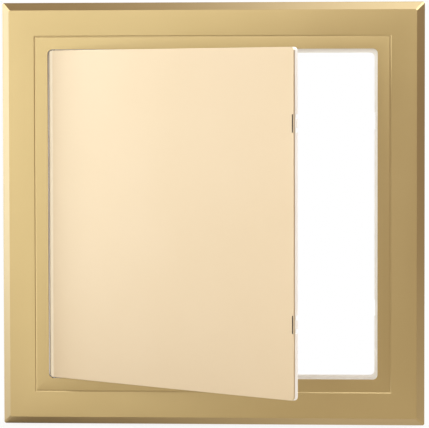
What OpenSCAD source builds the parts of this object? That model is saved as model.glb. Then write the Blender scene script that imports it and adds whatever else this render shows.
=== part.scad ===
// Access panel for a wall or ceiling cut-out: a bevelled face frame over a mounting sleeve,
// and a hinged door that snaps shut on two tongues in its free edge.
// X runs to the right, Z runs up and the front faces -Y.
// The origin is the middle of the cut-out, in the plane of the wall.

/* [Main sizes] */
// Width of the collar that enters the cut-out
sleeve_w = 196; // [150:1:300]
// Height of the collar that enters the cut-out
sleeve_h = 196; // [150:1:300]
// How far the face frame stands out past the collar on each side
flange = 11; // [9:0.5:20]
// Distance from the outside of the collar to the opening's edge
ledge = 13.1; // [10:0.1:18]

/* [Face frame] */
// Height of the front face above the wall
face_stand = 6.4; // [6:0.1:9]
// Height of the upright rim between the wall and the bevel
rim_stand = 1; // [0.5:0.1:2]
// Width of the bevel as seen from the front
bevel_run = 4; // [2:0.5:6]
// Width of the flat along each mitre of the bevel
mitre_flat = 1; // [0.4:0.1:1.6]
// Thickness of the face plate and of the bevel behind it
face_wall = 1.8; // [1.5:0.1:2]
// Distance from the opening's edge to the middle of the decorative groove
groove_inset = 6.6; // [6.4:0.1:9]
// Width of the decorative groove
groove_w = 1; // [1:0.1:2.4]
// Depth of the decorative groove
groove_depth = 0.25; // [0.2:0.05:0.9]
// Corner radius of the opening
opening_r = 2.4; // [1.8:0.1:4]

/* [Mounting sleeve] */
// Depth of the collar behind the wall's surface
sleeve_depth = 22; // [14:1:40]
// Wall thickness of the collar
sleeve_wall = 2; // [1.5:0.1:3]
// Outer corner radius of the collar
sleeve_r = 4; // [3:0.5:8]
// Run of the lead-in taper at the collar's back edge
lead_in = 0.8; // [0.4:0.1:1.2]
// Thickness of the inner wall round the opening
inner_wall = 1.6; // [1.2:0.1:2]
// Thickness of the ring that joins the inner wall to the collar
ring_t = 1.8; // [1.4:0.1:2]
// How far the door stop reaches into the opening at the free edge
stop_reach = 1.6; // [1.2:0.1:2]
// How far the door stop reaches into the opening above and below the door
end_reach = 2; // [1.2:0.1:2.4]
// Room for the door's heel where the stop is left away beside the hinge
heel_clear = 0.6; // [0.3:0.1:2]
// How far the stop still covers the door's upper and lower end beside the hinge
heel_cover = 0.15; // [0:0.05:0.15]
// Room between the closed door and its stop
stop_clear = 0.2; // [0.1:0.05:0.4]
// Number of gussets inside each side of the collar
gussets = 3; // [1:1:6]
// Thickness of a gusset
gusset_t = 1.4; // [1:0.1:2]
// Depth of a gusset behind the ring
gusset_depth = 9; // [5:0.5:12]

/* [Door] */
// Thickness of the closed door
door_t = 3; // [2.9:0.1:3.4]
// Thickness of the front panel
panel_t = 0.9; // [0.75:0.05:0.95]
// Rounding of the front panel's edge
edge_r = 0.3; // [0.2:0.05:0.6]
// How much tighter the door's corners are than the opening's
corner_ease = 0.4; // [0.2:0.1:0.8]
// Gap beside the hinge edge of the closed door
hinge_gap = 1; // [1:0.1:2]
// Gap beside the free edge of the closed door
free_gap = 0.8; // [0.6:0.1:1.2]
// Gap above and below the door
end_gap = 0.5; // [0.4:0.1:1.2]
// Thickness of the tray's rim
rim_wall = 1.6; // [1.2:0.1:2]
// Thickness of the tray's web
web_t = 0.9; // [0.7:0.1:1.2]
// Depth of the seam between the front panel and the tray
seam = 0.15; // [0.05:0.05:0.3]
// Number of stiffening ribs each way across the tray
ribs = 3; // [1:1:6]
// Thickness of a stiffening rib
rib_t = 1; // [0.8:0.1:1.6]

/* [Hinge] */
// Angle that the door stands open
door_open = 39; // [0:1:95]
// Radius of a hinge pin
pin_r = 0.75; // [0.6:0.05:0.8]
// Radial room round a hinge pin in its lug
pin_clear = 0.05; // [0.02:0.01:0.1]
// Radial room round a hinge pin where it is fixed in the tray
pin_seat = 0.01; // [0.01:0.01:0.03]
// Distance from the door's hinge edge to the pin's axis
pivot_inset = 1.8; // [1.7:0.05:2]
// Distance from the front face to the pin's axis
pivot_depth = 1.75; // [1.7:0.05:1.9]
// Length of a hinge pin inside the tray
pin_in = 8; // [5:0.5:12]
// Length of a hinge pin inside its lug
pin_out = 3.2; // [2:0.1:3.2]
// Room at the end of a hinge pin in its lug
pin_end = 0.5; // [0.2:0.1:0.5]
// Wall round the bore of a hinge lug and round a pin in the tray
boss_wall = 1.2; // [1:0.1:1.3]
// Thickness of the face left in front of a hinge lug
lug_skin = 0.6; // [0.4:0.1:0.7]
// Room round pieces that are let into the sleeve or the face frame
let_in = 0.1; // [0.05:0.05:0.2]

/* [Latches] */
// Distance from the door's upper or lower end to the middle of a latch
latch_inset = 36.4; // [16:0.1:46]
// Length of the slot in the front panel and of the notch behind it
notch_len = 8.7; // [7.5:0.1:12]
// Height of a tongue along the door's edge
tongue_len = 4; // [3:0.1:5]
// Thickness of the bridge between the slot and the door's edge
bridge_t = 0.25; // [0.2:0.05:0.5]
// Thickness of a tongue
tongue_t = 0.6; // [0.5:0.05:0.7]
// Width of the slot in the front panel
flex_slot = 0.85; // [0.8:0.05:1.4]
// Room between a tongue and the bridge that it hangs from
tongue_seat = 0.05; // [0.02:0.01:0.1]
// How far a tongue's barb stands out of the door's edge
barb = 0.35; // [0.2:0.05:0.4]
// Height of the barb's crest above the tongue's back end
barb_back = 0.4; // [0.3:0.05:0.45]
// Room between a passing barb and the catch's ridge
barb_clear = 0.05; // [0.04:0.01:0.1]
// Length of a catch along the opening's edge
catch_len = 8.3; // [7.5:0.1:12]
// How much less than the door stop a catch reaches
catch_short = 0.35; // [0.1:0.05:0.6]

/* [Hidden] */
$fn = 64;
// How deep parts of one piece run into each other, and how far a cutter reaches past its cut
eps = 0.01;
past = 1;

gold = "#C9AE72";
pale_gold = "#EAD3A3";
ivory = "#E9E0CC";
steel = "#B9BBBD";

// The face frame and its opening both follow the collar
frame_w = sleeve_w + 2 * flange;
frame_h = sleeve_h + 2 * flange;
opening_w = sleeve_w - 2 * ledge;
opening_h = sleeve_h - 2 * ledge;

// Planes that face the front, as places along Y
front_y = -face_stand;
plate_back_y = front_y + face_wall;
panel_back_y = front_y + panel_t;
web_back_y = panel_back_y + web_t;
door_back_y = front_y + door_t;
ring_y = door_back_y + stop_clear;
ring_back_y = ring_y + ring_t;

// The door as it lies when closed
door_w = opening_w - hinge_gap - free_gap;
door_h = opening_h - 2 * end_gap;
door_r = opening_r - corner_ease;
hinge_x = -opening_w / 2 + hinge_gap;
free_x = opening_w / 2 - free_gap;
door_x = (hinge_x + free_x) / 2;
pivot_x = hinge_x + pivot_inset;
pivot_y = front_y + pivot_depth;

// The door's heel turns within this radius, and the stop is left away up to this place
heel_r = sqrt(pow(pivot_inset, 2) + pow(door_back_y - pivot_y, 2));
relief_x = pivot_x + heel_r + heel_clear;

// Height of each latch, and where the slot in front of its tongue begins
latch_z = door_h / 2 - latch_inset;
slot_x = free_x - bridge_t - flex_slot;

// The channel of the sleeve ends just inside the face frame's own wall
channel_w = frame_w - 2 * bevel_run - 2 * face_wall;
channel_h = frame_h - 2 * bevel_run - 2 * face_wall;

// A square with rounded corners, from plain squares and circles
module rounded(w, h, r) {
    square([w - 2 * r, h], center = true);
    square([w, h - 2 * r], center = true);
    for (x = [-1, 1], z = [-1, 1])
        translate([x * (w / 2 - r), z * (h / 2 - r)])
            circle(r);
}

// Stands a flat outline up in the XZ plane and fills it from one place along Y to another
module upright(from_y, to_y) {
    translate([0, to_y, 0])
        rotate([90, 0, 0])
            linear_extrude(to_y - from_y)
                children();
}

// A block that tapers on all four sides, with square mitred corners.
// Sizes hold each plane's half width, half height and place along Y.
module mitred(sizes) {
    last = len(sizes) - 1;
    intersection() {
        translate([0, 0, -sizes[0][1] - sizes[last][1]])
            linear_extrude(2 * (sizes[0][1] + sizes[last][1]))
                polygon([
                    for (s = sizes) [s[0], s[2]],
                    for (i = [last:-1:0]) [-sizes[i][0], sizes[i][2]]
                ]);
        translate([-sizes[0][0] - sizes[last][0], 0, 0])
            rotate([90, 0, 90])
                linear_extrude(2 * (sizes[0][0] + sizes[last][0]))
                    polygon([
                        for (s = sizes) [s[2], s[1]],
                        for (i = [last:-1:0]) [sizes[i][2], -sizes[i][1]]
                    ]);
    }
}

// Swings what belongs to the door from its closed place to where it stands
module on_door() {
    translate([pivot_x, pivot_y, 0])
        rotate([0, 0, -door_open])
            translate([-pivot_x, -pivot_y, 0])
                children();
}

// Puts a piece that is drawn for the upper end at the lower end as well
module at_end(end) {
    if (end > 0)
        children();
    else
        mirror([0, 0, 1])
            children();
}

// The V-shaped groove round the opening, mitred at its corners
module groove() {
    mid_w = opening_w / 2 + groove_inset;
    mid_h = opening_h / 2 + groove_inset;
    half = groove_w / 2 * (1 + past / groove_depth);
    difference() {
        mitred([
            [mid_w + half, mid_h + half, front_y - past],
            [mid_w, mid_h, front_y + groove_depth]
        ]);
        mitred([
            [mid_w - half, mid_h - half, front_y - past],
            [mid_w, mid_h, front_y + groove_depth],
            [mid_w, mid_h, front_y + groove_depth + eps]
        ]);
    }
}

// The room that a hinge lug takes at the upper end, grown by a clearance
module lug_block(grow) {
    reach = pin_r + pin_clear + boss_wall;
    lug_y = front_y + lug_skin;
    lug_h = pin_out + pin_end + boss_wall;
    translate([pivot_x - reach - grow, lug_y - grow, opening_h / 2 - grow])
        cube([2 * (reach + grow), ring_back_y - lug_y + grow, lug_h + 2 * grow]);
}

// The bevelled block that the face frame is cut from, with a narrow flat along each mitre
module bevelled_block() {
    corner = (frame_w + frame_h) / 2 / sqrt(2) - mitre_flat / 2;
    intersection() {
        mitred([
            [frame_w / 2 - bevel_run, frame_h / 2 - bevel_run, front_y],
            [frame_w / 2, frame_h / 2, -rim_stand],
            [frame_w / 2, frame_h / 2, 0]
        ]);
        rotate([0, 45, 0])
            mitred([
                [corner - bevel_run * sqrt(2), corner - bevel_run * sqrt(2), front_y],
                [corner, corner, -rim_stand],
                [corner, corner, 0]
            ]);
    }
}

module face_frame() {
    color(gold)
        difference() {
            bevelled_block();
            mitred([
                [channel_w / 2 + face_wall / 2, channel_h / 2 + face_wall / 2, plate_back_y],
                [frame_w / 2 - face_wall, frame_h / 2 - face_wall, -rim_stand],
                [frame_w / 2 - face_wall, frame_h / 2 - face_wall, past]
            ]);
            upright(front_y - past, plate_back_y + past)
                rounded(opening_w, opening_h, opening_r);
            groove();
            for (end = [1, -1])
                at_end(end)
                    lug_block(let_in);
        }
}

// A row of triangular gussets in the corner between the ring and the collar, at the right-hand side
module gusset_row(opening, sleeve, length) {
    inner = opening / 2 + inner_wall;
    outer = sleeve / 2 - sleeve_wall + eps;
    for (i = [0:gussets - 1])
        translate([0, 0, (i - (gussets - 1) / 2) * length / gussets - gusset_t / 2])
            linear_extrude(gusset_t)
                polygon([
                    [inner, ring_back_y - eps],
                    [outer, ring_back_y - eps],
                    [outer, ring_back_y + gusset_depth]
                ]);
}

// The collar from the middle of the ring backwards, with its back edge tapered on the outside
module collar() {
    half_w = sleeve_w / 2 - lead_in;
    half_h = sleeve_h / 2 - lead_in;
    taper = lead_in + past;
    difference() {
        intersection() {
            upright(ring_y + ring_t / 2, sleeve_depth)
                rounded(sleeve_w, sleeve_h, sleeve_r);
            mitred([
                [half_w + taper, half_h + taper, ring_y],
                [half_w + taper, half_h + taper, sleeve_depth - taper],
                [half_w - past, half_h - past, sleeve_depth + past]
            ]);
        }
        upright(ring_y, sleeve_depth + past)
            rounded(sleeve_w - 2 * sleeve_wall, sleeve_h - 2 * sleeve_wall, sleeve_r - sleeve_wall);
    }
}

// The channel behind the face frame: inner wall, ring, outer wall and the door stop
module channel() {
    difference() {
        upright(plate_back_y, ring_back_y)
            square([channel_w, channel_h], center = true);
        upright(plate_back_y - past, ring_y)
            difference() {
                square([channel_w - 2 * sleeve_wall, channel_h - 2 * sleeve_wall], center = true);
                rounded(opening_w + 2 * inner_wall, opening_h + 2 * inner_wall, opening_r + inner_wall);
            }
        upright(plate_back_y - past, ring_y)
            rounded(opening_w, opening_h, opening_r);
        upright(ring_y - past, ring_back_y + past)
            rounded(opening_w - 2 * stop_reach, opening_h - 2 * end_reach, opening_r);
        upright(ring_y - past, ring_back_y + past)
            intersection() {
                rounded(opening_w, door_h - 2 * heel_cover, opening_r);
                translate([-opening_w / 2 - past, -opening_h / 2])
                    square([past + opening_w / 2 + relief_x, opening_h]);
            }
    }
}

// The gap in the inner wall and the door stop that a catch fills
module catch_gap(end) {
    gap_len = catch_len + 2 * let_in;
    gap_depth = ring_back_y - plate_back_y + 2 * past;
    translate([opening_w / 2 - stop_reach - past, plate_back_y - past, end * latch_z - gap_len / 2])
        cube([past + stop_reach + inner_wall, gap_depth, gap_len]);
}

module mounting_sleeve() {
    color(ivory)
        difference() {
            union() {
                channel();
                collar();
                for (turn = [0, 180])
                    rotate([0, turn, 0])
                        gusset_row(opening_w, sleeve_w, opening_h);
                for (turn = [90, 270])
                    rotate([0, turn, 0])
                        gusset_row(opening_h, sleeve_h, opening_w);
            }
            for (end = [1, -1]) {
                catch_gap(end);
                at_end(end)
                    lug_block(let_in);
            }
        }
}

module hinge_lug(end) {
    color(ivory)
        at_end(end)
            difference() {
                lug_block(0);
                translate([pivot_x, pivot_y, opening_h / 2 - past])
                    cylinder(h = past + pin_out + pin_end, r = pin_r + pin_clear);
            }
}

// The catch fills its gap in the inner wall and the stop, and has the ridge that holds a barb
module catch(end) {
    wall_x = opening_w / 2;
    stop_x = wall_x - stop_reach + catch_short;
    ridge_h = free_gap - barb - barb_clear;
    ridge_flank = ridge_h / 2;
    ridge_land = ridge_h / 4;
    ridge_y = door_back_y - barb_back - barb - barb_clear;
    color(ivory)
        translate([0, 0, end * latch_z - catch_len / 2])
            linear_extrude(catch_len)
                polygon([
                    [wall_x + inner_wall, plate_back_y],
                    [wall_x + inner_wall, ring_back_y],
                    [stop_x, ring_back_y],
                    [stop_x, ring_y],
                    [wall_x, ring_y],
                    [wall_x, ridge_y + ridge_flank],
                    [wall_x - ridge_h, ridge_y],
                    [wall_x - ridge_h, ridge_y - ridge_land],
                    [wall_x, plate_back_y]
                ]);
}

// The edge of the front panel in section, from the middle of its corner outwards
module panel_profile(run) {
    square([run - edge_r, panel_t]);
    square([run, panel_t - edge_r]);
    translate([run - edge_r, panel_t - edge_r])
        circle(edge_r);
}

// A plate whose front edge is rounded all the way round, lying with its back on y = 0
module rolled_plate(w, h, r) {
    for (x = [-1, 1], z = [-1, 1])
        translate([x * (w / 2 - r), 0, z * (h / 2 - r)])
            rotate([90, 0, 0])
                rotate_extrude()
                    panel_profile(r);
    for (x = [0, 180])
        rotate([0, x, 0])
            translate([w / 2 - r, 0, -h / 2 + r])
                linear_extrude(h - 2 * r)
                    mirror([0, 1, 0])
                        panel_profile(r);
    for (z = [90, 270])
        rotate([0, z, 0])
            translate([h / 2 - r, 0, -w / 2 + r])
                linear_extrude(w - 2 * r)
                    mirror([0, 1, 0])
                        panel_profile(r);
    translate([-w / 2 + r, -panel_t, -h / 2 + r])
        cube([w - 2 * r, panel_t, h - 2 * r]);
}

module door_panel() {
    color(pale_gold)
        on_door()
            difference() {
                translate([door_x, panel_back_y, 0])
                    rolled_plate(door_w, door_h, door_r);
                for (end = [1, -1])
                    translate([slot_x, front_y - past, end * latch_z - notch_len / 2])
                        cube([flex_slot, panel_t + 2 * past, notch_len]);
            }
}

// The tray's rim and web, with its front edge set back to leave the seam
module tray_shell() {
    difference() {
        union() {
            upright(panel_back_y + seam, door_back_y)
                translate([door_x, 0])
                    rounded(door_w, door_h, door_r);
            upright(panel_back_y, panel_back_y + web_t / 2)
                translate([door_x, 0])
                    rounded(door_w - 2 * seam, door_h - 2 * seam, door_r - seam);
        }
        upright(web_back_y, door_back_y + past)
            translate([door_x, 0])
                rounded(door_w - 2 * rim_wall, door_h - 2 * rim_wall, door_r / 3);
    }
}

// Stiffening ribs across the tray, level with its rim
module tray_ribs() {
    rib_y = web_back_y - eps;
    rib_depth = door_back_y - rib_y;
    for (i = [1:ribs]) {
        translate([hinge_x + door_w * i / (ribs + 1) - rib_t / 2, rib_y, -door_h / 2 + eps])
            cube([rib_t, rib_depth, door_h - 2 * eps]);
        translate([hinge_x + eps, rib_y, -door_h / 2 + door_h * i / (ribs + 1) - rib_t / 2])
            cube([door_w - 2 * eps, rib_depth, rib_t]);
    }
}

// The block that holds a hinge pin at the upper end of the tray
module pin_boss() {
    boss_y = panel_back_y + seam;
    reach = pin_r + boss_wall;
    translate([hinge_x + seam, boss_y, door_h / 2 - door_r - pin_in])
        cube([pivot_inset - seam + reach, pivot_y + reach - boss_y, pin_in]);
}

// The walls round a latch's notch in the tray
module notch_walls(end) {
    wall_len = notch_len + 2 * rib_t;
    translate([slot_x - rib_t, panel_back_y, end * latch_z - wall_len / 2])
        cube([free_x - seam - slot_x + rib_t, door_t - panel_t, wall_len]);
}

// The notch itself, open to the free edge and to the front panel's slot
module notch(end) {
    translate([slot_x, panel_back_y - past, end * latch_z - notch_len / 2])
        cube([free_x - slot_x + past, door_t - panel_t + 2 * past, notch_len]);
}

module door_tray() {
    color(ivory)
        on_door()
            difference() {
                union() {
                    tray_shell();
                    tray_ribs();
                    for (end = [1, -1]) {
                        at_end(end)
                            pin_boss();
                        notch_walls(end);
                    }
                }
                for (end = [1, -1]) {
                    notch(end);
                    at_end(end)
                        translate([pivot_x, pivot_y, door_h / 2 - pin_in])
                            cylinder(h = pin_in + past, r = pin_r + pin_seat);
                }
            }
}

module hinge_pin(end) {
    color(steel)
        on_door()
            at_end(end)
                translate([pivot_x, pivot_y, door_h / 2 - pin_in])
                    cylinder(h = pin_in + end_gap + pin_out, r = pin_r);
}

// A tongue in section: a round root behind the bridge, a leaf, and a barb that faces the frame
module tongue_section() {
    root_y = panel_back_y + tongue_seat + tongue_t / 2;
    crest_y = door_back_y - barb_back;
    translate([free_x - tongue_t / 2, root_y])
        circle(tongue_t / 2);
    polygon([
        [free_x - tongue_t, root_y],
        [free_x, root_y],
        [free_x, crest_y - barb],
        [free_x + barb, crest_y],
        [free_x, door_back_y],
        [free_x - tongue_t, door_back_y]
    ]);
}

module tongue(end) {
    color(ivory)
        on_door()
            translate([0, 0, end * latch_z - tongue_len / 2])
                linear_extrude(tongue_len)
                    tongue_section();
}

face_frame();
mounting_sleeve();
hinge_lug(1);  // upper_hinge_lug
hinge_lug(-1);  // lower_hinge_lug
catch(1);  // upper_catch
catch(-1);  // lower_catch
door_panel();
door_tray();
hinge_pin(1);  // upper_hinge_pin
hinge_pin(-1);  // lower_hinge_pin
tongue(1);  // upper_tongue
tongue(-1);  // lower_tongue
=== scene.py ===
import math

import bmesh
import bpy
from mathutils import Matrix, Vector


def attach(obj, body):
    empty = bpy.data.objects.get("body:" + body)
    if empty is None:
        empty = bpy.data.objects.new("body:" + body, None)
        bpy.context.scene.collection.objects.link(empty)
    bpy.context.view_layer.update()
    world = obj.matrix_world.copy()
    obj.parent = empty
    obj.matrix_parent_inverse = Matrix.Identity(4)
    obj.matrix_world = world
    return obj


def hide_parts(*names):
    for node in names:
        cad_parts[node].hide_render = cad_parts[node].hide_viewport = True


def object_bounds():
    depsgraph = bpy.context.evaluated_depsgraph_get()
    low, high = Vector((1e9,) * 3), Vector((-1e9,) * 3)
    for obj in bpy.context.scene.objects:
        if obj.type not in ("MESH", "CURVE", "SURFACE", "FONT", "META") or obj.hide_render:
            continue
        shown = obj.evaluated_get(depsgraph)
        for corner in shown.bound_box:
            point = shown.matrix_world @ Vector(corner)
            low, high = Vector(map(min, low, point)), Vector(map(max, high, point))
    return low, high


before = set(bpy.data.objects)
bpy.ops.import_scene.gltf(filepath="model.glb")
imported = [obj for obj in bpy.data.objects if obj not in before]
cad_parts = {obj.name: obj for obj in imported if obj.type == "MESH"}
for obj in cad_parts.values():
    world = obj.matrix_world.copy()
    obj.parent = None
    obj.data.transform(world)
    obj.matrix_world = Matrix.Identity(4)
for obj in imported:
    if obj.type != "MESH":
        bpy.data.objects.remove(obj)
cad_low, cad_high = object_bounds()


# ---- Camera
# The photographer stood well back with a long lens, a touch to the right of the panel's middle and
# a touch above it, so the upright edges stay almost parallel and both bevels show.
def towards(right, up):
    """The direction this many degrees to the right of straight ahead of the panel, and up."""
    right, up = math.radians(right), math.radians(up)
    return Vector((math.sin(right) * math.cos(up), -math.cos(right) * math.cos(up), math.sin(up)))


aim = Vector((0.00076, 0.0, -0.00009))
camera_distance = 1.4324
camera_right, camera_above = 3.88, 2.59
camera_roll = math.radians(-0.11)
focal_in_pixels = 2772.8
photo_width = 429

scene = bpy.context.scene
camera_data = bpy.data.cameras.new("camera")
camera_data.sensor_fit = "HORIZONTAL"
camera_data.sensor_width = 36.0
camera_data.lens = focal_in_pixels * camera_data.sensor_width / photo_width
camera = bpy.data.objects.new("camera", camera_data)
camera.location = aim + camera_distance * towards(camera_right, camera_above)
facing = (aim - camera.location).to_track_quat("-Z", "Y").to_matrix()
camera.rotation_euler = (facing @ Matrix.Rotation(camera_roll, 3, "Z")).to_euler()
scene.collection.objects.link(camera)
scene.camera = camera
scene.view_settings.view_transform = "Standard"


# ---- Light
# A white room with softboxes round the left, which the opened door faces, a high one in front, and
# two behind on the right, which lift the upper bevel. Of the two small lamps, one serves the top of
# the face and one the mitre at its right.
def paint(code):
    """A colour written as sRGB hex, in the linear values that Blender works with."""
    parts = [int(code[i : i + 2], 16) / 255 for i in (1, 3, 5)]
    return [p / 12.92 if p <= 0.04045 else ((p + 0.055) / 1.055) ** 2.4 for p in parts] + [1.0]


def add(tree, kind, fill=None, **settings):
    """Adds one node, sets its properties, and fills or links its inputs.

    A Mix node keeps each data type in sockets of its own, so these go by number: two values at 2
    and 3 with the result at 0, and two colours at 6 and 7 with the result at 2.
    """
    new = tree.nodes.new(kind)
    for name, value in settings.items():
        setattr(new, name, value)
    for name, value in (fill or {}).items():
        if isinstance(value, bpy.types.NodeSocket):
            tree.links.new(value, new.inputs[name])
        else:
            new.inputs[name].default_value = value
    return new


def rays(tree):
    """The light path, and a value that is 1 for what is seen directly or through glass."""
    path = add(tree, "ShaderNodeLightPath")
    direct = add(
        tree,
        "ShaderNodeMath",
        {0: path.outputs["Is Camera Ray"], 1: path.outputs["Is Transmission Ray"]},
        operation="MAXIMUM",
    )
    return path, direct.outputs[0]


# Seen directly the room is pure white, as behind the photographed panel, but its light is warm
room = bpy.data.worlds.new("white_room")
room.use_nodes = True
tree = room.node_tree
tree.nodes.clear()
_, direct = rays(tree)
fill_light = add(tree, "ShaderNodeBackground", {"Color": paint("#FFDFCA"), "Strength": 0.44})
backdrop = add(tree, "ShaderNodeBackground", {"Color": paint("#FFFFFF"), "Strength": 1.0})
chosen = add(
    tree, "ShaderNodeMixShader", {0: direct, 1: fill_light.outputs[0], 2: backdrop.outputs[0]}
)
add(tree, "ShaderNodeOutputWorld", {"Surface": chosen.outputs[0]})
scene.world = room

# Degrees to the right of straight ahead, degrees up, metres away, metres across, watts, colour
lamps = {
    "left_back_softbox": (-120, 3, 0.90, 0.50, 1.41, "#E9F6FF"),
    "left_softbox": (-95, 3, 0.90, 0.50, 1.74, "#F2FBFF"),
    "left_top_softbox": (-95, 35, 0.90, 0.50, 2.83, "#FBFFFF"),
    "left_front_softbox": (-45, 3, 0.90, 0.50, 2.99, "#FBFFFF"),
    "front_softbox": (-20, 3, 0.90, 0.50, 1.76, "#F8FFFA"),
    "front_top_softbox": (10, 35, 0.90, 0.50, 1.80, "#FBFFFF"),
    "back_right_softbox": (130, 35, 0.90, 0.50, 3.40, "#FBFFFF"),
    "back_top_softbox": (130, 68, 0.90, 0.50, 2.34, "#FBFFFF"),
    "small_top_lamp": (3, 33, 0.42, 0.18, 0.20, "#FBFFFF"),
    "small_right_lamp": (80, 45, 0.42, 0.18, 0.50, "#FBFFFF"),
}
for name, (right, up, away, across, watts, colour) in lamps.items():
    lamp = bpy.data.lights.new(name, "AREA")
    lamp.size = across
    lamp.energy = watts
    lamp.color = paint(colour)[:3]
    stand = bpy.data.objects.new(name, lamp)
    stand.location = away * towards(right, up)
    stand.rotation_euler = (-stand.location).to_track_quat("-Z", "Y").to_euler()
    scene.collection.objects.link(stand)


# ---- Floor
# A plain pale table that the panel stands on. It fades to white away from the panel, so that it has
# no edge, and it keeps the shadow close to the panel.
def blank_material(name):
    """A material without nodes, its tree, and the socket with each point's place in metres."""
    made = bpy.data.materials.new(name)
    made.use_nodes = True
    made.node_tree.nodes.clear()
    return made, made.node_tree, add(made.node_tree, "ShaderNodeTexCoord").outputs["Object"]


floor_radius = 0.9
fade_from, fade_to = 0.10, 0.26
white_near_panel = 0.85
# Where the painted reflection that the lower bevel shows is still dim, and where it is bright
reflection_dim_until, reflection_bright_from = -0.085, 0.055

floor_mesh = bpy.data.meshes.new("floor")
shape = bmesh.new()
bmesh.ops.create_circle(shape, cap_ends=True, segments=96, radius=floor_radius)
shape.to_mesh(floor_mesh)
shape.free()
floor_mesh.transform(Matrix.Translation((0.0, 0.0, cad_low.z)))
floor = bpy.data.objects.new("floor", floor_mesh)
scene.collection.objects.link(floor)

table_top, tree, place = blank_material("pale_laminate")
spread = add(tree, "ShaderNodeMapping", {"Vector": place, "Scale": (1.0, 1.0, 0.0)})
reach = add(tree, "ShaderNodeVectorMath", {0: spread.outputs[0]}, operation="LENGTH")
fade = add(
    tree,
    "ShaderNodeMapRange",
    {
        "Value": reach.outputs["Value"],
        "From Min": fade_from,
        "From Max": fade_to,
        "To Min": white_near_panel,
        "To Max": 1.0,
    },
)
path, direct = rays(tree)
plain = add(tree, "ShaderNodeMath", {0: direct, 1: fade.outputs["Result"]}, operation="MULTIPLY")
# Seen only in reflections, the table carries a painted reflection for the lower bevel and its
# mitres: dim on the left and warm white on the right
split = add(tree, "ShaderNodeSeparateXYZ", {"Vector": place})
painted_reflection_slope = add(
    tree,
    "ShaderNodeMapRange",
    {"Value": split.outputs["X"], "From Min": reflection_dim_until, "From Max": reflection_bright_from},
)
painted_reflection = add(
    tree,
    "ShaderNodeMath",
    {0: path.outputs["Is Glossy Ray"], 1: painted_reflection_slope.outputs["Result"]},
    operation="MULTIPLY",
)
share = add(
    tree, "ShaderNodeMath", {0: plain.outputs[0], 1: painted_reflection.outputs[0]}, operation="MAXIMUM"
)
matt = add(tree, "ShaderNodeBsdfDiffuse", {"Color": paint("#E9E7E3")})
painted_reflection_tint = add(
    tree,
    "ShaderNodeMix",
    {"Factor": path.outputs["Is Glossy Ray"], 6: paint("#FFFFFF"), 7: paint("#FFF3E0")},
    data_type="RGBA",
)
white = add(tree, "ShaderNodeEmission", {"Color": painted_reflection_tint.outputs[2], "Strength": 1.0})
mixed = add(
    tree, "ShaderNodeMixShader", {0: share.outputs[0], 1: matt.outputs[0], 2: white.outputs[0]}
)
add(tree, "ShaderNodeOutputMaterial", {"Surface": mixed.outputs[0]})
floor_mesh.materials.append(table_top)


# ---- Face frame
# The bevelled front of the panel: ABS moulded in one shot with the V-shaped groove in its face,
# then sprayed with satin gold lacquer. It is bonded over the mounting sleeve.
def gold_lacquer(name, light, deep, rough, bands=None):
    """Satin gold lacquer: fine metal flake under a clear coat, for a broad, slightly grainy sheen.

    bands, where given, adds the nodes for places with painted shade or a painted highlight, and
    gives for each the value that is 1 there, its colour and how metallic it is.
    """
    made, tree, place = blank_material(name)
    # Spraying leaves the coat a little fuller in some places, in clouds about 60 mm across
    cloud_size = 0.06
    clouds = add(
        tree, "ShaderNodeTexNoise", {"Vector": place, "Scale": 1 / cloud_size, "Detail": 2.0}
    )
    tone = add(
        tree,
        "ShaderNodeMix",
        {"Factor": clouds.outputs["Fac"], 6: paint(deep), 7: paint(light)},
        data_type="RGBA",
    )
    # The flake is about 0.05 mm and can't show at this size, so its grain is drawn at 0.5 mm. The
    # noise hardly leaves 0.3 to 0.7, which becomes the whole spread of the roughness.
    grain_size, rough_spread = 0.0005, 0.03
    flake = add(
        tree, "ShaderNodeTexNoise", {"Vector": place, "Scale": 1 / grain_size, "Detail": 2.0}
    )
    sheen = add(
        tree,
        "ShaderNodeMapRange",
        {
            "Value": flake.outputs["Fac"],
            "From Min": 0.3,
            "From Max": 0.7,
            "To Min": rough - rough_spread,
            "To Max": rough + rough_spread,
        },
    )
    grain = add(
        tree,
        "ShaderNodeBump",
        {"Height": flake.outputs["Fac"], "Strength": 0.25, "Distance": 0.000008},
    )
    # Orange peel of the dried lacquer, with waves about 2.5 mm long and a few microns high
    wave_length = 0.0025
    peel = add(
        tree, "ShaderNodeTexNoise", {"Vector": place, "Scale": 1 / wave_length, "Detail": 1.0}
    )
    waves = add(
        tree,
        "ShaderNodeBump",
        {
            "Height": peel.outputs["Fac"],
            "Normal": grain.outputs["Normal"],
            "Strength": 0.3,
            "Distance": 0.00002,
        },
    )
    colour, metal = tone.outputs[2], 0.9
    # Where a band's value is 1, its colour and metalness paint shade or a highlight over the
    # lacquer
    for where, painted_colour, painted_metal in bands(tree, place) if bands else ():
        colour = add(
            tree, "ShaderNodeMix", {"Factor": where, 6: colour, 7: paint(painted_colour)}, data_type="RGBA"
        ).outputs[2]
        metal = add(tree, "ShaderNodeMix", {0: where, 2: metal, 3: painted_metal}).outputs[0]
    skin = add(
        tree,
        "ShaderNodeBsdfPrincipled",
        {
            "Base Color": colour,
            "Roughness": sheen.outputs["Result"],
            "Normal": waves.outputs["Normal"],
            "Metallic": metal,
            "Coat Weight": 0.8,
            "Coat Roughness": 0.3,
        },
    )
    add(tree, "ShaderNodeOutputMaterial", {"Surface": skin.outputs[0]})
    return made


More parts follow.
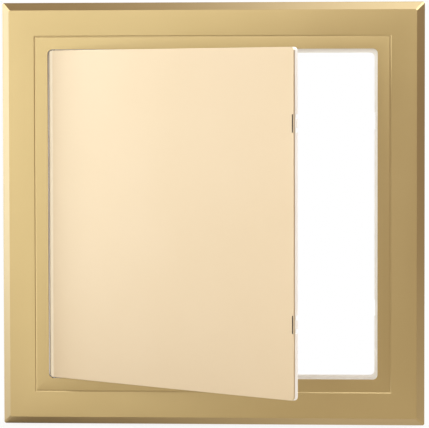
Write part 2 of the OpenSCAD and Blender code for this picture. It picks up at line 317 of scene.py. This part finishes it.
def softened(node, name, body, finish, rounding, keen=28, share=None):
    """Stands for a CAD node with the same shape, its sharp edges rounded as a mould leaves them.

    keen is how many degrees an edge must turn to be rounded, and share, where given, tells for the
    middle of an edge how much of the rounding it gets. Without rounding the edges stay as they are.
    """
    same_point, flat_within = 1e-6, math.radians(0.4)
    shape = bmesh.new()
    shape.from_mesh(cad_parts[node].data)
    bmesh.ops.remove_doubles(shape, verts=shape.verts, dist=same_point)
    bmesh.ops.dissolve_limit(
        shape,
        angle_limit=flat_within,
        verts=shape.verts,
        edges=shape.edges,
        use_dissolve_boundaries=False,
    )
    weight = shape.edges.layers.float.new("bevel_weight_edge")
    for edge in shape.edges:
        if edge.calc_face_angle(0.0) > math.radians(keen):
            middle = (edge.verts[0].co + edge.verts[1].co) / 2
            edge[weight] = share(middle) if share else 1.0
    mesh = bpy.data.meshes.new(name)
    shape.to_mesh(mesh)
    shape.free()
    mesh.shade_smooth()
    mesh.set_sharp_from_angle(angle=math.radians(keen))
    mesh.materials.clear()
    mesh.materials.append(finish)
    piece = bpy.data.objects.new(name, mesh)
    scene.collection.objects.link(piece)
    if rounding:
        edges = piece.modifiers.new("moulded_edges", "BEVEL")
        edges.limit_method = "WEIGHT"
        edges.width = rounding
        edges.segments = 3
        edges.harden_normals = True
    else:
        flats = piece.modifiers.new("flat_faces", "WEIGHTED_NORMAL")
        flats.keep_sharp = True
    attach(piece, body)
    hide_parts(node)


def frame_share(middle):
    """How much of the rounding an edge of the face frame gets, by where its middle lies."""
    rim, bevel, opening, groove = 1.0, 0.4, 0.5, 0.06
    rim_side, beyond_groove, within_groove, near_corner = 0.1088, 0.097, 0.086, 0.1
    off_wall, rim_middle, near_face = -0.0005, -0.0009, -0.0062
    out = max(abs(middle.x), abs(middle.z))
    if out > rim_side and middle.y < off_wall:
        # The rim's short edges at its four corners are rounded like the mitres that they lead to
        at_corner = min(abs(middle.x), abs(middle.z)) > near_corner
        return bevel if at_corner and middle.y > rim_middle else rim
    if out > beyond_groove:
        return bevel
    if out < within_groove and middle.y < near_face:
        return opening
    return groove


frame_gold = gold_lacquer("satin_gold_lacquer", light="#AD9869", deep="#A79261", rough=0.40)
softened(
    "face_frame",
    "face_frame_front",
    "frame",
    frame_gold,
    rounding=0.0008,
    keen=20,
    share=frame_share,
)


# ---- Mounting sleeve, hinge lugs and catches
# The hidden body of the panel: a collar for the cut-out, a channel round the opening and the door
# stop, moulded in ivory ABS. The lugs and the catches are let into it.
def moulded_abs(name, light, deep, rough):
    """Ivory ABS from a spark-eroded mould: an even satin with a very fine grain."""
    made, tree, place = blank_material(name)
    # The melt's flow leaves the tone a little uneven, over about 30 mm
    flow_size = 0.03
    flow = add(
        tree, "ShaderNodeTexNoise", {"Vector": place, "Scale": 1 / flow_size, "Detail": 3.0}
    )
    tone = add(
        tree,
        "ShaderNodeMix",
        {"Factor": flow.outputs["Fac"], 6: paint(deep), 7: paint(light)},
        data_type="RGBA",
    )
    # The eroded grain is about 0.1 mm and is drawn at 0.3 mm, so that it shows in a close view
    grain_size, rough_spread = 0.0003, 0.05
    eroded = add(
        tree, "ShaderNodeTexNoise", {"Vector": place, "Scale": 1 / grain_size, "Detail": 2.0}
    )
    sheen = add(
        tree,
        "ShaderNodeMapRange",
        {
            "Value": eroded.outputs["Fac"],
            "From Min": 0.3,
            "From Max": 0.7,
            "To Min": rough - rough_spread,
            "To Max": rough + rough_spread,
        },
    )
    grain = add(
        tree,
        "ShaderNodeBump",
        {"Height": eroded.outputs["Fac"], "Strength": 0.4, "Distance": 0.00002},
    )
    skin = add(
        tree,
        "ShaderNodeBsdfPrincipled",
        {
            "Base Color": tone.outputs[2],
            "Roughness": sheen.outputs["Result"],
            "Normal": grain.outputs["Normal"],
            "IOR": 1.53,
        },
    )
    add(tree, "ShaderNodeOutputMaterial", {"Surface": skin.outputs[0]})
    return made


ivory = moulded_abs("ivory_moulded_abs", light="#EBEAE6", deep="#E6E5E1", rough=0.45)
softened(
    "mounting_sleeve", "mounting_sleeve_body", "frame", ivory, rounding=0.00025
)
for end in ("upper", "lower"):
    softened(
        f"{end}_hinge_lug", f"{end}_hinge_lug_body", "frame", ivory, rounding=0.00015
    )
    softened(f"{end}_catch", f"{end}_catch_body", "frame", ivory, rounding=0.0001)


# ---- Door panel
# The door's front skin, gold lacquer on a thin moulding with a rolled edge. Two slots near its free
# edge leave thin bridges in front of the tongues. The door stands open by this turn about its pins.
door_turn = math.radians(39)
pivot = Vector((-0.0821, -0.00465, 0.0))


def painted_light_at_edge_and_slots(tree, place):
    """Painted shade at the hinge edge, a painted highlight beside it, and painted shade on the
    slots' walls.
    """
    # Places on the shut door, from the pivot: the hinge edge and what follows it, then the slots
    hinge_edge = -0.0018
    painted_shade_to, painted_highlight_from = hinge_edge + 0.0004, hinge_edge + 0.0006
    painted_highlight_to, painted_highlight_gone = hinge_edge + 0.0018, hinge_edge + 0.0034
    slot_out, half_width = 0.165525, 0.00046
    slot_up, half_height = 0.048, 0.00438
    slot_shade_behind = -0.00170
    from_pivot = add(tree, "ShaderNodeVectorMath", {0: place, 1: pivot}, operation="SUBTRACT")
    shut = add(
        tree,
        "ShaderNodeMapping",
        {"Vector": from_pivot.outputs[0], "Rotation": (0.0, 0.0, door_turn)},
    )
    split = add(tree, "ShaderNodeSeparateXYZ", {"Vector": shut.outputs[0]})
    x, y, z = (split.outputs[axis] for axis in "XYZ")
    begins = add(
        tree, "ShaderNodeMapRange", {"Value": x, "From Min": painted_shade_to, "From Max": painted_highlight_from}
    )
    fades = add(
        tree,
        "ShaderNodeMapRange",
        {"Value": x, "From Min": painted_highlight_to, "From Max": painted_highlight_gone, "To Min": 1.0, "To Max": 0.0},
    )
    begun = begins.outputs["Result"]
    painted_shade = add(tree, "ShaderNodeMath", {0: 1.0, 1: begun}, operation="SUBTRACT")
    painted_highlight = add(tree, "ShaderNodeMath", {0: begun, 1: fades.outputs["Result"]}, operation="MULTIPLY")
    height = add(tree, "ShaderNodeMath", {0: z}, operation="ABSOLUTE")
    beside = add(tree, "ShaderNodeMath", {0: x, 1: slot_out, 2: half_width}, operation="COMPARE")
    level = add(
        tree,
        "ShaderNodeMath",
        {0: height.outputs[0], 1: slot_up, 2: half_height},
        operation="COMPARE",
    )
    below = add(tree, "ShaderNodeMath", {0: y, 1: slot_shade_behind}, operation="GREATER_THAN")
    both = add(
        tree, "ShaderNodeMath", {0: beside.outputs[0], 1: level.outputs[0]}, operation="MULTIPLY"
    )
    painted_slot_shade = add(
        tree, "ShaderNodeMath", {0: both.outputs[0], 1: below.outputs[0]}, operation="MULTIPLY"
    )
    # Painted shade along the hinge edge, a pale painted highlight beside it, and dark painted shade
    # in the slots
    return (
        (painted_shade.outputs[0], "#74603E", 0.9),
        (painted_highlight.outputs[0], "#E8DEC8", 0.1),
        (painted_slot_shade.outputs[0], "#3A2E1C", 0.0),
    )


# The door's gold is paler than the frame's, a painted highlight for the brighter light the open
# door catches
door_gold_painted_lighter = gold_lacquer(
    "satin_gold_lacquer_painted_lighter", light="#CAB99D", deep="#C6B495", rough=0.40, bands=painted_light_at_edge_and_slots
)
softened("door_panel", "door_front_panel", "door", door_gold_painted_lighter, rounding=0)


# ---- Door tray, hinge pins and tongues
# The ribbed moulding behind the door's skin, in the same ivory ABS as the sleeve. The steel pins
# are pressed into its hinge edge, and the tongues are moulded in its free edge.
def drawn_steel(name):
    """Bright drawn wire: fine lines run along it from the die."""
    made, tree, place = blank_material(name)
    # The lines are about 0.02 mm wide and are drawn at 0.1 mm, so that they show in a close view,
    # and fifty times as long
    line_spacing, shortening = 0.0001, 0.02
    along = add(tree, "ShaderNodeMapping", {"Vector": place, "Scale": (1.0, 1.0, shortening)})
    lines = add(
        tree,
        "ShaderNodeTexNoise",
        {"Vector": along.outputs[0], "Scale": 1 / line_spacing, "Detail": 2.0},
    )
    tone = add(
        tree,
        "ShaderNodeMix",
        {"Factor": lines.outputs["Fac"], 6: paint("#A9ABAE"), 7: paint("#C4C6C8")},
        data_type="RGBA",
    )
    sheen = add(
        tree, "ShaderNodeMapRange", {"Value": lines.outputs["Fac"], "To Min": 0.22, "To Max": 0.34}
    )
    skin = add(
        tree,
        "ShaderNodeBsdfPrincipled",
        {"Base Color": tone.outputs[2], "Roughness": sheen.outputs["Result"], "Metallic": 1.0},
    )
    add(tree, "ShaderNodeOutputMaterial", {"Surface": skin.outputs[0]})
    return made


steel = drawn_steel("drawn_steel")
softened("door_tray", "door_tray_body", "door", ivory, rounding=0.00015)
for end in ("upper", "lower"):
    softened(
        f"{end}_hinge_pin", f"{end}_hinge_pin_body", "door", steel, rounding=0.0002
    )
    softened(
        f"{end}_tongue", f"{end}_tongue_body", f"{end}_latch", ivory, rounding=0.00008
    )


def round_marks(name, count, pitch, radius, height, finish):
    """A square grid of low discs about the origin, facing -Y, made with Geometry Nodes."""
    recipe = bpy.data.node_groups.new(name, "GeometryNodeTree")
    sockets = recipe.interface
    sockets.new_socket("Geometry", in_out="INPUT", socket_type="NodeSocketGeometry")
    values = {"Spread": (count - 1) * pitch, "Mark Radius": radius, "Mark Height": height}
    keys = {
        label: sockets.new_socket(label, in_out="INPUT", socket_type="NodeSocketFloat").identifier
        for label in values
    }
    sockets.new_socket("Geometry", in_out="OUTPUT", socket_type="NodeSocketGeometry")
    given = add(recipe, "NodeGroupInput").outputs
    places = add(
        recipe,
        "GeometryNodeMeshGrid",
        {
            "Size X": given["Spread"],
            "Size Y": given["Spread"],
            "Vertices X": count,
            "Vertices Y": count,
        },
    )
    disc = add(
        recipe,
        "GeometryNodeMeshCylinder",
        {"Vertices": 48, "Radius": given["Mark Radius"], "Depth": given["Mark Height"]},
    )
    discs = add(
        recipe,
        "GeometryNodeInstanceOnPoints",
        {"Points": places.outputs["Mesh"], "Instance": disc.outputs["Mesh"]},
    )
    upright = add(
        recipe,
        "GeometryNodeTransform",
        {"Geometry": discs.outputs["Instances"], "Rotation": (math.pi / 2, 0.0, 0.0)},
    )
    real = add(
        recipe, "GeometryNodeRealizeInstances", {"Geometry": upright.outputs["Geometry"]}
    )
    dressed = add(
        recipe,
        "GeometryNodeSetMaterial",
        {"Geometry": real.outputs["Geometry"], "Material": finish},
    )
    add(recipe, "NodeGroupOutput", {"Geometry": dressed.outputs["Geometry"]})
    host = bpy.data.objects.new(name + "_host", bpy.data.meshes.new(name + "_host"))
    scene.collection.objects.link(host)
    maker = host.modifiers.new("marks", "NODES")
    maker.node_group = recipe
    for label, value in values.items():
        maker[keys[label]] = value
    finished = host.evaluated_get(bpy.context.evaluated_depsgraph_get())
    mesh = bpy.data.meshes.new_from_object(finished)
    bpy.data.objects.remove(host)
    return mesh


# The pins that push the tray out of its mould leave a round mark in every pocket between the ribs.
# Half of each disc's height lies in the tray, so the marks stand a tenth of a millimetre proud.
pockets_across, pocket_pitch = 4, 0.042
mark_radius, mark_height = 0.003, 0.0002
shut_tray_back = Vector((0.0001, -0.0046, 0.0))
marks = round_marks(
    "ejector_marks", pockets_across, pocket_pitch, mark_radius, mark_height, ivory
)
marks.transform(
    Matrix.Translation(pivot)
    @ Matrix.Rotation(-door_turn, 4, "Z")
    @ Matrix.Translation(shut_tray_back - pivot)
)
tray_marks = bpy.data.objects.new("tray_ejector_marks", marks)
scene.collection.objects.link(tray_marks)
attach(tray_marks, "door")
